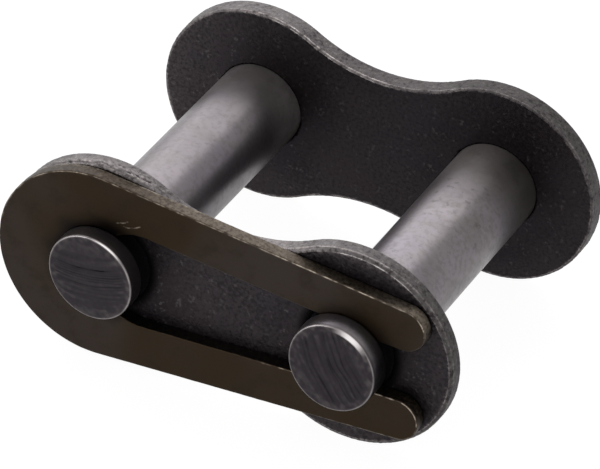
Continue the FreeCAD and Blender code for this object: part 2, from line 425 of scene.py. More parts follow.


# Pins: ground shank with a soft sheen and heat stains, browner towards the pin plate, and dark cropped ends.
# Painted shade darkens the undersides, the left pin's top, the collars' dark side and the pins inside the
# clip, and the end rims carry painted highlights.
pinFinish = {
    "cloud": (2.2, 4.0, 0.6, 0.3),
    "blue": (3.0, 3.0, 0.55),
    "blueShift": (0.02, 0.01, 0.03),
    "fine": (0.14, 3.0, 0.6),
    "speck": (0.2, 2.0),
    "patch": (0.9, 4.0, 0.65, 0.4),
    "patchShift": (0.01, 0.03, 0.02),
    "rough": (0.45, 4.0, 0.7),
    "shank": (0.174, 0.158, 0.169),
    "stain": (0.112, 0.100, 0.101),
    "bluing": (0.142, 0.129, 0.153),
    "spot": (0.045, 0.042, 0.042),
    "brown": (0.070, 0.060, 0.055),
    "paleBrown": (0.240, 0.212, 0.205),
    "olive": (0.128, 0.118, 0.104),
    "cloudRamp": (0.42, 0.72),
    "blueRamp": (0.45, 0.7),
    "fineRamp": (0.46, 0.62),
    "speckRamp": (0.58, 0.70),
    "spotRamp": (0.47, 0.60),
    "patchRamp": (0.44, 0.62),
    "roughRamp": (0.46, 0.60),
    "nearPlateRamp": (-3.6, -0.6),       # along Y
    "nearPlateWander": 3.0,
    "leftSideRamp": (1.0, -1.0),         # along X
    "onTopRamp": (1.5, 2.2),             # along Z, painted shade on the left pin's top
    "outerSideRamp": (-0.2, 1.6),        # along X from the right pin's axis
    "outerSideWander": 0.8,
    "underRamp": (0.3, -0.9),            # along Z, painted shade on the undersides
    "underWander": 0.5,
    "underShares": (0.4, 0.5, 0.12),     # near the plate, on the left pin and elsewhere
    "endDark": (0.0255, 0.0215, 0.0255),
    "endPale": (0.4, 0.75, 0.4, (0.042, 0.036, 0.038)),
    "paleGrainRamp": (0.25, 0.6, 0.55, 1.0),
    "wearAndPaintedLight": (0.38, 0.345, 0.345),
    # near white, for painted highlights
    "shine": (0.88, 0.84, 0.83),
    # near black, for the cropping lines and for painted shade
    "linesAndPaintedShade": (0.008, 0.007, 0.009),
    "roughness": 0.36,
    "endRoughness": 0.38,
    "fineRoughness": 0.2,
    "cloudRoughness": 0.25,
    "lineRoughness": 0.6,                # added where the lines and the painted shade are black
    "lineRamp": (-0.9, -1.0),
    "fineDepth": 0.0015,
    "metallic": 0.92,
    "stainMetallic": (0.45, 0.25, 0.15), # less near the plate, given back on its outer side, less underneath with the painted shade
}


def pinSteel(size):
    made = Finish(bpy.data.materials.new("pinSteel"))
    place = made.place()
    cut = made.attribute("cut")
    wearAndPaintedLight = made.attribute("wearAndPaintedLight")
    x, y, z = (made.axis(place, index) for index in range(3))
    cloud = made.noise(place, *size["cloud"])
    blue = made.noise(made.moved(place, size["blueShift"]), *size["blue"])
    fine = made.noise(place, *size["fine"])
    speck = made.ramp(made.noise(place, *size["speck"]), *size["speckRamp"])
    spot = speck * made.ramp(cloud, *size["spotRamp"])
    patch = made.ramp(made.noise(made.moved(place, size["patchShift"]), *size["patch"]), *size["patchRamp"])
    rough = made.ramp(made.noise(place, *size["rough"]), *size["roughRamp"])
    nearPlate = made.ramp(y + (cloud - 0.5) * size["nearPlateWander"], *size["nearPlateRamp"])
    leftSide = made.ramp(x, *size["leftSideRamp"])
    # Painted shade on the top of the left pin
    paintedTopShade = made.ramp(z, *size["onTopRamp"]) * leftSide
    outward = x - halfPitch + (cloud - 0.5) * size["outerSideWander"]
    outerSide = made.ramp(outward, *size["outerSideRamp"]) * nearPlate
    # Painted shade: the undersides of the pins are browner
    paintedUnderShade = made.ramp(z + (fine - 0.5) * size["underWander"], *size["underRamp"])
    byPlate, byLeft, elsewhere = size["underShares"]
    shank = size["shank"]
    for share, colour in (
        (made.ramp(cloud, *size["cloudRamp"]) * 0.7, "stain"),
        (made.ramp(blue, *size["blueRamp"]) * 0.6, "bluing"),
        (made.ramp(fine, *size["fineRamp"]) * 0.45, "stain"),
        (patch * 0.3, "olive"),
        (spot * 0.45, "spot"),
        (nearPlate * 0.5, "paleBrown"),
        (nearPlate * rough * 0.55, "stain"),
        (nearPlate * patch * 0.4, "olive"),
        (paintedTopShade * 0.4, "stain"),
        (outerSide * 0.6, "brown"),
        (paintedUnderShade * (nearPlate * byPlate + leftSide * byLeft + elsewhere), "brown"),
    ):
        shank = made.mixed(share, shank, size[colour])
    colour = made.mixed(cut, made.layer(size["endDark"], fine, *size["endPale"]), shank)
    colour = made.mixed(wearAndPaintedLight * made.ramp(fine, *size["paleGrainRamp"]), colour, size["wearAndPaintedLight"])
    colour = made.mixed(wearAndPaintedLight - 1.0, colour, size["shine"])
    colour = made.mixed(wearAndPaintedLight * -1.0, colour, size["linesAndPaintedShade"])
    roughness = (fine - 0.5) * size["fineRoughness"] + (cloud - 0.5) * size["cloudRoughness"]
    roughness = roughness + cut * (size["roughness"] - size["endRoughness"]) + size["endRoughness"]
    roughness = roughness + made.ramp(wearAndPaintedLight, *size["lineRamp"]) * size["lineRoughness"]
    lessNear, backOutside, lessUnder = size["stainMetallic"]
    stained = (nearPlate * (lessNear - outerSide * backOutside) + paintedUnderShade * lessUnder) * cut
    metallic = (size["metallic"] - stained).clipped()
    return made.finished(colour, roughness, metallic, made.bumped(fine, size["fineDepth"]))


# A plate: the two round ends about the pins and the hollow between them. Names that end in Patches are
# (wavelength, mean, spread, least, most), as in patchesOf.
plateShape = {
    "waistDepth": 1.6,
    "headSamples": 230,          # points along the round end
    "hollowSamples": 56,         # along half a hollow
    "middleSamples": 40,         # across the plate's middle
    "breakRows": 6,              # rows of points over the sharper edge
    "wallRows": 16,
    "rollRows": 9,
    "besideBreak": 0.03,         # from an edge's round to the first row on the face
    "besideRoll": 0.04,
    "faceShares": (0, 0.02, 0.05, 0.1, 0.16, 0.23, 0.31, 0.4, 0.5, 0.62, 0.75, 0.84, 0.9, 0.94, 0.97, 1),
    "edgeRoll": 0.17,            # round edge on the +Y side, where the punch came in
    "edgeBreak": 0.12,           # sharper edge on the -Y side
    "coverEdgeBreak": 0.2,       # the same on the cover plate, which is worn there
    "tornDepth": 0.008,          # of the torn wall
    "tornSize": 0.2,
    "tornFrom": 0.08,            # depth below the -Y face at which the wall is torn in full
    "burrDepth": 0.004,          # of the nicked edge on the -Y side
    "burrPatches": (0.25, 0.0, 1.0, -0.2, 1.6),
    "burrPlace": 0.02,
    "burrWidth": 0.06,
    "breakPlace": 0.42,          # share of the thickness where the sheared wall turns into the torn one
    "breakWander": 0.05,
    "breakWave": 1.1,
    "breakStep": 0.006,
    "breakRamp": 0.02,
    "breakShine": 0.1,
    "rubbedAndPaintedLight": 0.9,               # how bright the sharper edge is, from wear and from a painted highlight
    "edgeLineWidth": 0.03,
    "edgeLineSlope": 1.5,          # how soon the shine ends down the wall
    "edgeLinePatches": (0.8, 0.75, 0.4, 0.0, 1.1),
    "wallMarkRamp": (-0.001, 0.012),
    "wallMarkEnd": 0.1,
    "bandWidth": 0.34,           # of the worn strip of the face beside the sharper edge
    "bandPatches": (0.35, 0.8, 0.5, 0.0, 1.2),
    "mouthRound": 0.1,
    "tightMouth": 0.035,         # the same on the pin plate, which grips its pins
    "shadowReach": 0.5,             # of the painted shadow round the pins on the cover plate
    "seamAndShadowStrength": 0.85,
    "seamShare": 0.55,           # of that shade in the dark seam round a pin on the other faces
    "seamRamp": (-0.01, 0.04),
    "crack": {                   # along the cover plate's upper wall, between two raised and ragged lips
        "place": 0.12,           # how deep below the -Y face it lies
        "wander": 0.04,
        "wave": 0.9,
        "drop": 0.25,            # how much deeper it lies at its right end
        "dropRamp": (-6.5, -4.0),        # along X
        "width": 0.035,
        "depth": 0.03,
        "openPatches": (0.4, 0.6, 0.6, 0.0, 1.0),
        "lipWidth": 0.25,
        "lipHeight": 0.012,
        "raggedSize": 0.13,
        "lipTone": (0.3, 0.3),   # mean and spread of how pale the lips are
        "lipToneRange": (-0.3, 0.8),
    },
}

# How the plates differ along X, each as (x, value): shade is painted light and shade on the wall, paler above
# 0 and darker below; the next is the brightness of the wall's front edge, from wear and from a painted
# highlight;
# torn is the size of that edge's nicks, face is painted light and shade on the faces, paler at the left and
# darker at the right, band is the worn strip of the front face along its upper outline, and tear is the
# strength of the crack in the upper wall.
wallTones = {
    "pin_plate": {
        "shade": (
            (-12, 0.0), (-4, -0.05), (-2, -0.2), (0, -0.25), (3, -0.24), (5, -0.34), (9, -0.28), (12, -0.12),
        ),
        "rubbedAndPaintedLight": ((-12, 0.6), (-8, 0.7), (-5, 2.0), (-1, 2.1), (2, 0.9), (12, 0.6)),
        "torn": ((0, 1.0),),
        "face": ((-12, 0.05), (-9, 0.02), (-6, -0.1), (12, -0.15)),
        "band": ((0, 0.0),),
        "tear": ((0, 0.0),),
    },
    "cover_plate": {
        "shade": (
            (-3, 0.0), (-1, 0.1), (1, 0.35), (3, 0.15), (5, -0.06), (7, -0.14), (9, -0.14), (10.5, -0.18),
            (12, -0.25),
        ),
        "rubbedAndPaintedLight": ((-12, 1.0), (-7, 1.1), (-3, 0.9), (2, 1.2), (4, 1.9), (8, 1.9), (10, 1.0), (12, 0.6)),
        "torn": ((-7, 3.0), (-4, 1.2), (3, 1.0), (5, 2.0), (8, 1.6), (10, 1.0)),
        "face": ((0, 0.0),),
        "band": (
            (-11, 0.1), (-9, 0.55), (-5, 0.55), (-4, 0.3), (-2, 0.0), (3, 0.0), (4.5, 0.35), (8.5, 0.35),
            (10, 0.0),
        ),
        "tear": ((-10.5, 0.0), (-9.5, 0.7), (-8, 1.0), (-5, 1.0), (-3.5, 0.0)),
    },
}


def toneAt(stops, x):
    # The value at x on straight lines between the stops
    places, values = zip(*stops)
    return np.interp(x, places, values)


def plateBoundary(shape, endRadius):
    # Half a plate's outline about the pin at +halfPitch: the hollow arc from the middle, the round end, the
    # hollow arc back, and the straight line up the plate's middle. The arcs are tangent where they meet, the
    # normals point out of the plate, and the count is of the points before the straight line.
    waist = endRadius - shape["waistDepth"]
    hollowRadius = (halfPitch ** 2 + waist ** 2 - endRadius ** 2) / (2 * shape["waistDepth"])
    hollowZ = waist + hollowRadius
    meet = math.atan2(hollowZ, -halfPitch)
    hollowMeet = math.atan2(-hollowZ, halfPitch)
    turn = np.linspace(-math.pi / 2, hollowMeet, shape["hollowSamples"], endpoint=False)
    top = stacked(hollowRadius * np.cos(turn), hollowZ + hollowRadius * np.sin(turn))
    topNormal = -stacked(np.cos(turn), np.sin(turn))
    turn = np.linspace(meet, -meet, shape["headSamples"], endpoint=False)
    end = stacked(halfPitch + endRadius * np.cos(turn), endRadius * np.sin(turn))
    endNormal = stacked(np.cos(turn), np.sin(turn))
    turn = np.linspace(hollowMeet, -math.pi / 2, shape["hollowSamples"] + 1)
    bottom = stacked(hollowRadius * np.cos(turn), -hollowZ - hollowRadius * np.sin(turn))
    bottomNormal = stacked(-np.cos(turn), np.sin(turn))
    rise = np.linspace(-1, 1, shape["middleSamples"], endpoint=False)[1:]
    middle, middleNormal = stacked(0, waist * rise), stacked(0, rise)
    points = np.concatenate([top, end, bottom, middle])
    normals = np.concatenate([topNormal, endNormal, bottomNormal, middleNormal])
    return points, normals, len(top) + len(end) + len(bottom)


def edgeSection(thickness, shape):
    # The wall from the -Y face to the +Y face as (how far in from the outline, how deep below the -Y face):
    # a quarter round, the straight wall and a larger quarter round, with one row on each face beside them.
    sharp, roll = shape["edgeBreak"], shape["edgeRoll"]
    fall, rise = rounding(sharp, shape["breakRows"])
    front = stacked(fall, rise)
    wall = stacked(0, np.linspace(sharp, thickness - roll, shape["wallRows"] + 2)[1:-1])
    fall, rise = rounding(roll, shape["rollRows"])
    back = stacked(rise, thickness - fall)
    onFront = [[sharp + shape["besideBreak"], 0]]
    onBack = [[roll + shape["besideRoll"], thickness]]
    return np.concatenate([onFront, front, wall, back, onBack])


def tornWall(shape, ring, deep, thickness, seed, tones):
    # How far each point of a wall stands out from its smooth outline, how pale the crack and its lips make
    # it, and how deep the torn part begins. The first of these is a fine noise, less a step over the sheared
    # part, the nicks at the front edge and the crack, plus a noise on the crack's two lips.
    flat = ring * (1, 0, 1)
    x = ring[..., 0]
    alongWall = smoothStep(deep, 0.0, shape["tornFrom"])
    alongWall = alongWall * smoothStep(thickness - deep, 0.0, shape["edgeRoll"])
    torn = smoothNoise(ring, shape["tornSize"], seed) * shape["tornDepth"] * alongWall
    breakAt = shape["breakPlace"] + shape["breakWander"] * smoothNoise(flat, shape["breakWave"], seed + 3)
    breakAt = thickness * breakAt
    sheared = smoothStep(breakAt - deep, -shape["breakRamp"], shape["breakRamp"])
    torn = torn - shape["breakStep"] * sheared * alongWall
    nicked = patchesOf(ring, seed + 1, *shape["burrPatches"]) * shape["burrDepth"]
    nicked = nicked * bell(deep - shape["burrPlace"], shape["burrWidth"]) * toneAt(tones["torn"], x)

    split = shape["crack"]
    crackAt = split["place"] + split["wander"] * smoothNoise(flat, split["wave"], seed + 5)
    crackAt = crackAt + split["drop"] * smoothStep(x, *split["dropRamp"])
    tear = toneAt(tones["tear"], x) * (ring[..., 2] > 0)
    ragged = smoothNoise(ring, split["raggedSize"], seed + 6)
    opened = patchesOf(ring, seed + 7, *split["openPatches"])
    crack = tear * bell(deep - crackAt, split["width"]) * opened
    lips = tear * bell(deep - crackAt, split["lipWidth"]) - crack
    push = torn - nicked - split["depth"] * crack + split["lipHeight"] * lips * ragged
    pale, spread = split["lipTone"]
    crackTone = lips * np.clip(pale + spread * ragged, *split["lipToneRange"]) - crack
    return push, crackTone, breakAt


def plateHalf(shape, side, endRadius, holeRadius, frontY, thickness, isCoverPlate, seed, tones):
    # One half of a plate, as the grids of its hole's wall, its outer wall and its two faces. Each point of
    # the outline has one on the hole in the direction of the pin's axis, and the faces are drawn straight
    # between them.
    base, normal, outer = plateBoundary(shape, endRadius)
    inset, depth = edgeSection(thickness, shape).T
    deep = depth[:, None]
    ring = base[None] - inset[:, None, None] * normal[None]
    ring = stacked(side * ring[..., 0], frontY + deep, ring[..., 1])
    push, crackTone, breakAt = tornWall(shape, ring, deep, thickness, seed, tones)
    push[0] = push[-1] = 0
    push[:, outer:] = 0
    ring[..., 0] += side * push * normal[None, :, 0]
    ring[..., 2] += push * normal[None, :, 1]

    centre = np.array([side * halfPitch, 0])
    aim = stacked(side * base[:, 0], base[:, 1]) - centre
    aim /= np.linalg.norm(aim, axis=1)[:, None]
    mouth = shape["mouthRound"] if isCoverPlate else shape["tightMouth"]
    fall, rise = rounding(mouth, shape["breakRows"])
    onFace = [mouth + shape["besideBreak"]]
    holeInset = np.concatenate([onFace, fall, [0], rise, onFace])
    holeDepth = np.concatenate([[0], rise, [thickness / 2], thickness - fall, [thickness]])
    hole = centre + aim[None] * (holeRadius + holeInset)[:, None, None]
    hole = stacked(hole[..., 0], frontY + holeDepth[:, None], hole[..., 1])

    wall = ring[:, :outer]
    wallMark = smoothStep(deep, *shape["wallMarkRamp"])
    wallMark = wallMark * smoothStep(thickness - deep, 0.0, shape["wallMarkEnd"])
    patchy = patchesOf(wall, seed + 2, *shape["edgeLinePatches"])
    # The front edge's bright line: wear and a painted highlight, as strong along x as the tones say
    bright = shape["rubbedAndPaintedLight"] * np.where(wall[..., 2] > 0, toneAt(tones["rubbedAndPaintedLight"], wall[..., 0]), 1.0)
    fromEdge = inset[:, None] + shape["edgeLineSlope"] * deep - shape["edgeBreak"]
    rubbedAndPaintedLight = bright * patchy * bell(fromEdge, shape["edgeLineWidth"])
    rubbedAndPaintedLight = rubbedAndPaintedLight + shape["breakShine"] * patchy * bell(deep - breakAt[:, :outer], shape["edgeLineWidth"])
    # Painted light and shade along x on the wall, painted shade in the crack, and its pale lips
    rubbedAndPaintedLight = rubbedAndPaintedLight + toneAt(tones["shade"], wall[..., 0]) * wallMark + crackTone[:, :outer]
    # The hole's wall is painted dark, as painted shade inside the hole
    patches = [(hole, 0.0, -1.0, True), (wall, wallMark, rubbedAndPaintedLight, False)]

    share = np.array(shape["faceShares"])[:, None, None]
    for row, shadowReach, bandShare in ((0, shape["shadowReach"] * isCoverPlate, 1), (-1, 0.0, 0)):
        face = hole[row] * (1 - share) + ring[row] * share
        # Painted shadow round the pins on the cover plate's front face, and a dark seam round them on the
        # other faces
        fromHole = np.hypot(face[..., 0] - centre[0], face[..., 2]) - holeRadius - mouth
        seamStart, seamEnd = shape["seamRamp"]
        seamAndShadow = shape["seamAndShadowStrength"] * (1 - smoothStep(fromHole, seamStart, seamEnd + shadowReach))
        seamAndShadow = seamAndShadow * (1 if isCoverPlate else shape["seamShare"])
        toEdge = np.linalg.norm(face - face[-1:], axis=-1) + inset[0]
        band = toneAt(tones["band"], face[..., 0]) * bell(toEdge, shape["bandWidth"]) * (face[..., 2] > 0)
        band = band * patchesOf(face, seed + 4, *shape["bandPatches"]) * bandShare
        band[:, outer:] = 0
        patches.append((face, 0.0, toneAt(tones["face"], face[..., 0]) * (1 - seamAndShadow) - seamAndShadow + band, True))
    return patches


def makePlate(node, holeRadius, isCoverPlate, seed, finish):
    low, high = boxOf(node)
    endRadius = (high[2] - low[2]) / 2
    thickness = high[1] - low[1]
    shape = {**plateShape, "edgeBreak": plateShape["coverEdgeBreak"]} if isCoverPlate else plateShape
    tones = wallTones[node]
    patches = []
    for side in (1, -1):
        patches += plateHalf(shape, side, endRadius, holeRadius, low[1], thickness, isCoverPlate, seed, tones)
    buildPiece(node, patches, finish)


# A pin: rolled free end, collar, clip groove, shank and the peened end
pinShape = {
    "radius": 2.25,
    "endRound": 0.1,
    "grooveDepth": 0.35,
    "grooveSideClearance": 0.04,
    "grooveChamfer": 0.015,
    "footRound": 0.08,
    "rivetRadius": 2.47,
    "rivetRimRound": 0.36,
    "rivetFlatWidth": 0.6,
    "rivetDishDepth": 0.14,
    "around": 288,               # points round the axis
    "rows": {
        "end": 52, "round": 10, "collar": 14, "grooveSide": 4, "foot": 5, "groove": 6, "inCover": 4,
        "shank": 90, "rivetStep": 4, "rivetSide": 4, "rivetFlat": 8, "dish": 14,
    },
    "rowGap": 0.02,              # from a round to the next row
    "coverLength": 0.4,          # of the hidden stretch before the shank's own finish begins
    "collarCut": 0.7,            # how far the collar has the shank's finish and not the end's
    "rivetCuts": (0.5, 0.4, 0.3),        # the same on the peened end's rim, flat and dish
    "lineDepth": 0.012,
    "lineMargin": 0.3,           # from the pin's radius to where the lines end
    "linePatches": (1.1, 0.8, 0.35, 0.0, 1.0),
    "lineSpread": 3.0,           # keeps the patches of two lines apart
    "wanderWave": 1.6,
    "streakPatches": (0.3, 0.0, 1.0, -0.15, 2.0),
    "streakStretch": 0.1,
    "streakShare": 0.1,          # of the fine streaks between the lines
    "faceDepth": 0.06,           # how far back from the end the lines fade, over faceBlend
    "faceBlend": 0.05,
    "rimLower": 0.012,           # how far the rim is hammered back everywhere
    "rimReach": 0.35,
    "flatPower": 2.6,            # how squarely the flattened place begins
    "flatGrowth": 2.2,           # how far it reaches into the end, for each unit of its depth
    "unevenWave": 0.5,
    "unevenLower": 0.5,
    "unevenShine": 0.15,
    "collarStart": 0.15,         # from the clip to where the collar begins to slant
    "collarEnd": 0.1,            # from the end to where it slants in full
    "bluntSpan": 65.0,           # degrees to each side of the flattened place
    "bluntPower": 3,
    "rimShinePlace": 0.05,       # in from the radius
    "rimShineWidth": 0.035,
    "facetMargin": 0.04,
    "facetBlend": 0.05,
    "facetOuter": 0.01,
    "shineDepth": 0.3,           # how far back from the end the shine fades, over shineBlend
    "shineBlend": 0.1,
    "paintedShadeAngle": -30.0,          # degrees from +X towards +Z of the middle of the painted shade on the collar's dark side
    "paintedShadeRamp": (0.1, 0.8),      # of the cosine of the angle from there
    "paintedShadeMargin": 0.04,
    "paintedShadeBlend": 0.1,
    "holeRamp": (-0.06, 0.02),   # along Y from the clip's front, where the pin is painted dark as shade inside the clip and the cover plate
    "holeBlend": 0.1,
    "mottle": 0.05,              # how much paler the outer part of the end is
    "mottleRamp": (1.2, 2.0),
    "mottlePatches": (0.35, 0.6, 0.9, 0.0, 2.0),
}

# Lines left on the cropped ends, each as (distance from the pin's axis, strength, width). Angles are in
# degrees from +X towards +Z.
croppedEnds = {
    "left_pin": {
        "direction": 11.0,
        "bend": 0.08,            # how much the lines curve
        "lines": (
            (0.46, 1.0, 0.055), (0.33, 0.5, 0.03), (0.22, 0.45, 0.03), (0.08, 0.8, 0.035),
            (-0.05, 0.5, 0.03), (-0.2, 0.45, 0.03), (-0.42, 0.8, 0.035), (-0.55, 0.3, 0.025),
            (-0.8, 0.35, 0.04), (-1.05, 0.3, 0.04),
        ),
        "contrast": 1.1,
        "wander": 0.03,
        "slant": (-0.035, 0.005),    # of the end, along X and along Z
        "blunt": 0.02,           # how much the end is drawn in at the flattened place
        "paintedShade": 0.4,             # painted shade on the collar's lower right side
        "flatAngle": 66.0,       # of the flattened place on the rim, which carries a painted highlight
        "flatSpan": 21.0,
        "flatDepth": 0.0,
        "flatWidth": 0.03,
        "flatShine": 2.1,
        "rimShine": 0.5,
    },
    "right_pin": {
        "direction": -57.0,
        "bend": 0.05,
        "lines": (
            (0.14, 0.65, 0.06), (0.02, 0.5, 0.04), (0.42, 0.6, 0.05), (0.74, 0.8, 0.05),
            (1.0, 0.4, 0.06), (-0.4, 0.35, 0.05), (-0.85, 0.9, 0.07), (-1.1, 0.4, 0.05),
        ),
        "contrast": 1.0,
        "wander": 0.05,
        "slant": (-0.02, 0.075),
        "blunt": 0.14,
        "paintedShade": 0.92,
        "flatAngle": 66.0,
        "flatSpan": 20.0,
        "flatDepth": 0.03,
        "flatWidth": 0.22,
        "flatShine": 1.85,
        "rimShine": 0.45,
    },
}


def pinSection(shape, frontY, clipFrontY, clipBackY, coverFrontY, plateOuterY, backY):
    # The turned section from the middle of the free end to the middle of the peened end, as (radius, y,
    # cut): straight runs with quarter rounds between them, and at the end the arc of the dish.
    radius, rim, foot = shape["radius"], shape["endRound"], shape["footRound"]
    groove = radius - shape["grooveDepth"]
    grooveFront = clipFrontY - shape["grooveSideClearance"]
    grooveBack = clipBackY + shape["grooveSideClearance"]
    rivet, rivetRound = shape["rivetRadius"], shape["rivetRimRound"]
    gap, chamfer = shape["rowGap"], shape["grooveChamfer"]
    collarCut, (rimCut, flatCut, dishCut) = shape["collarCut"], shape["rivetCuts"]
    count = shape["rows"]
    turn = np.linspace(0, math.pi / 2, count["round"])
    sine, cosine, rounded = np.sin(turn), np.cos(turn), turn / turn[-1]
    turn = np.linspace(0, math.pi / 2, count["foot"])
    footSine, footCosine = np.sin(turn), np.cos(turn)
    rows = []

    def run(fromRadius, fromY, toRadius, toY, stretch, cut):
        # Rows on a straight line, without its last point
        share = np.linspace(0, 1, count[stretch] + 1)[:-1]
        rows.append(stacked(fromRadius + (toRadius - fromRadius) * share, fromY + (toY - fromY) * share, cut))

    run(0, frontY, radius - rim - gap, frontY, "end", 0.0)
    rows.append(stacked(radius - rim + rim * sine, frontY + rim - rim * cosine, collarCut * rounded))
    run(radius, frontY + rim + gap, radius, grooveFront - 2 * chamfer, "collar", collarCut)
    edge = [radius, radius - chamfer, radius - 2 * gap]
    rows.append(stacked(edge, [grooveFront - chamfer, grooveFront, grooveFront], 0))
    run(radius - 3 * gap, grooveFront, groove + foot, grooveFront, "grooveSide", 0.0)
    rows.append(stacked(groove + foot - foot * footSine, grooveFront + foot - foot * footCosine, 0))
    run(groove, grooveFront + foot + gap, groove, grooveBack - foot - gap, "groove", 0.0)
    rows.append(stacked(groove + foot - foot * footCosine, grooveBack - foot + foot * footSine, 0))
    run(groove + foot + gap, grooveBack, radius - 2 * gap, grooveBack, "grooveSide", 0.0)
    rows.append(stacked([radius - chamfer, radius], [grooveBack, grooveBack + chamfer], 0))
    shankStart = coverFrontY + shape["coverLength"]
    run(radius, grooveBack + 2 * chamfer, radius, shankStart, "inCover", 0.0)
    run(radius, shankStart, radius, plateOuterY - gap, "shank", 1.0)
    rows.append(stacked(radius, [plateOuterY - gap / 4, plateOuterY], 1))
    run(radius + gap / 2, plateOuterY, rivet - gap / 2, plateOuterY, "rivetStep", 1.0)
    run(rivet, plateOuterY, rivet, backY - rivetRound, "rivetSide", 1.0)
    rivetInner = rivet - rivetRound
    rimY = backY - rivetRound + rivetRound * sine
    rows.append(stacked(rivetInner + rivetRound * cosine, rimY, 1 - (1 - rimCut) * rounded))
    dish = rivetInner - shape["rivetFlatWidth"]
    ball = (dish ** 2 + shape["rivetDishDepth"] ** 2) / (2 * shape["rivetDishDepth"])
    run(rivetInner - gap, backY, dish + gap, backY, "rivetFlat", flatCut)
    inside = np.linspace(dish, 0, count["dish"])
    sag = shape["rivetDishDepth"] - (ball - np.sqrt(ball ** 2 - inside ** 2))
    rows.append(stacked(inside, backY - sag, dishCut))
    return np.concatenate(rows)


def croppingLines(marks, x, z, radius, pinX):
    # How deep each point lies in the lines across the free end: a bell across each line, which wanders,
    # breaks off and curves with the square of the way along it, plus a noise that is ten times longer along
    # the lines than across.
    lean = math.radians(marks["direction"])
    along = x * math.cos(lean) + z * math.sin(lean)
    across = z * math.cos(lean) - x * math.sin(lean) - marks["bend"] * along ** 2
    lines = np.zeros_like(along)
    for offset, strength, width in marks["lines"]:
        track = stacked(along, pinShape["lineSpread"] * offset, pinX)
        broken = patchesOf(track, 7, *pinShape["linePatches"])
        wander = marks["wander"] * smoothNoise(track, pinShape["wanderWave"], 5)
        lines += strength * broken * bell(across + wander - offset, width)
    streak = stacked(along * pinShape["streakStretch"], across, pinX)
    streak = patchesOf(streak, 6, *pinShape["streakPatches"])
    lines = np.clip(lines, 0, 1) + pinShape["streakShare"] * streak
    margin = pinShape["lineMargin"]
    return marks["contrast"] * lines * smoothStep(pinShape["radius"] - margin - radius, 0, margin)


def makePin(node, pinX, finish):
    # The section is turned about the pin's axis: x and z are its radius times the cosine and sine of the
    # angle. The free end then gets its slant, its cropping lines and the flattened place on its rim.
    shape, marks = pinShape, croppedEnds[node]
    low, high = boxOf(node)
    clipLow, clipHigh = boxOf("spring_clip")
    coverLow, coverHigh = boxOf("cover_plate")
    plateOuterY = boxOf("pin_plate")[1][1]
    section = pinSection(shape, low[1], clipLow[1], clipHigh[1], coverLow[1], plateOuterY, high[1])
    angle = np.linspace(0, 2 * math.pi, shape["around"], endpoint=False)[None, :]
    radius, sectionY, cut = (section[:, k][:, None] for k in range(3))
    x = radius * np.cos(angle)
    z = radius * np.sin(angle)
    onFace = smoothStep(low[1] + shape["faceDepth"] - sectionY, 0, shape["faceBlend"])
    lines = croppingLines(marks, x, z, radius, pinX) * onFace

    away = np.abs((angle - math.radians(marks["flatAngle"]) + math.pi) % (2 * math.pi) - math.pi)
    flat = np.exp(-(away / math.radians(marks["flatSpan"])) ** shape["flatPower"])
    uneven = smoothNoise(stacked(np.cos(angle), np.sin(angle), pinX), shape["unevenWave"], 9)
    rimStart = shape["radius"] - shape["endRound"] - shape["flatGrowth"] * marks["flatDepth"] * flat
    lower = marks["flatDepth"] * flat + shape["rimLower"] * (1 + shape["unevenLower"] * uneven)
    lower = lower * np.clip((radius - rimStart) / shape["rimReach"], 0, 1)
    slantFrom = clipLow[1] - shape["collarStart"]
    collar = np.clip((slantFrom - sectionY) / (slantFrom - low[1] - shape["collarEnd"]), 0, 1)
    slope = marks["slant"][0] * x + marks["slant"][1] * z
    y = sectionY + lines * shape["lineDepth"] + (lower + slope) * collar
    blunt = marks["blunt"] / shape["radius"] * bell(away, math.radians(shape["bluntSpan"]))
    drawnIn = 1 - blunt * collar ** shape["bluntPower"]
    grid = stacked(pinX + x * drawnIn, y, z * drawnIn)

    # A painted highlight along each end's rim and a broader one on the flattened place
    shine = np.clip(marks["rimShine"] + shape["unevenShine"] * uneven, 0, 1)
    rubbedAndPaintedLight = bell(radius - (shape["radius"] - shape["rimShinePlace"]), shape["rimShineWidth"]) * shine
    facetFrom = shape["radius"] - shape["facetMargin"] - marks["flatWidth"]
    facet = smoothStep(radius, facetFrom - shape["facetBlend"], facetFrom)
    facet = facet * smoothStep(shape["radius"] + shape["facetOuter"] - radius, 0, shape["facetBlend"])
    rubbedAndPaintedLight = np.maximum(rubbedAndPaintedLight, facet * flat * marks["flatShine"])
    rubbedAndPaintedLight = rubbedAndPaintedLight * smoothStep(low[1] + shape["shineDepth"] - sectionY, 0, shape["shineBlend"])
    # Painted shade on the collar's dark side, in front of the clip
    paintedShade = smoothStep(np.cos(angle - math.radians(shape["paintedShadeAngle"])), *shape["paintedShadeRamp"])
    paintedShade = marks["paintedShade"] * paintedShade * smoothStep(radius, shape["radius"] - shape["paintedShadeMargin"], shape["radius"])
    paintedShade = paintedShade * smoothStep(clipLow[1] - sectionY, 0, shape["paintedShadeBlend"])
    # Painted shade on the pin inside the clip and the cover plate
    holeStart, holeFull = shape["holeRamp"]
    inHole = smoothStep(sectionY, clipLow[1] + holeStart, clipLow[1] + holeFull)
    inHole = inHole * smoothStep(coverHigh[1] - shape["holeBlend"] - sectionY, 0, shape["holeBlend"])
    mottled = patchesOf(stacked(x * drawnIn, pinX, z * drawnIn), 8, *shape["mottlePatches"])
    mottled = shape["mottle"] * smoothStep(radius, *shape["mottleRamp"]) * mottled
    wearAndPaintedLight = rubbedAndPaintedLight - lines - np.maximum(inHole, paintedShade * (1 - inHole)) + mottled * onFace
    buildPiece(node, [(grid, cut, wearAndPaintedLight, True)], finish)


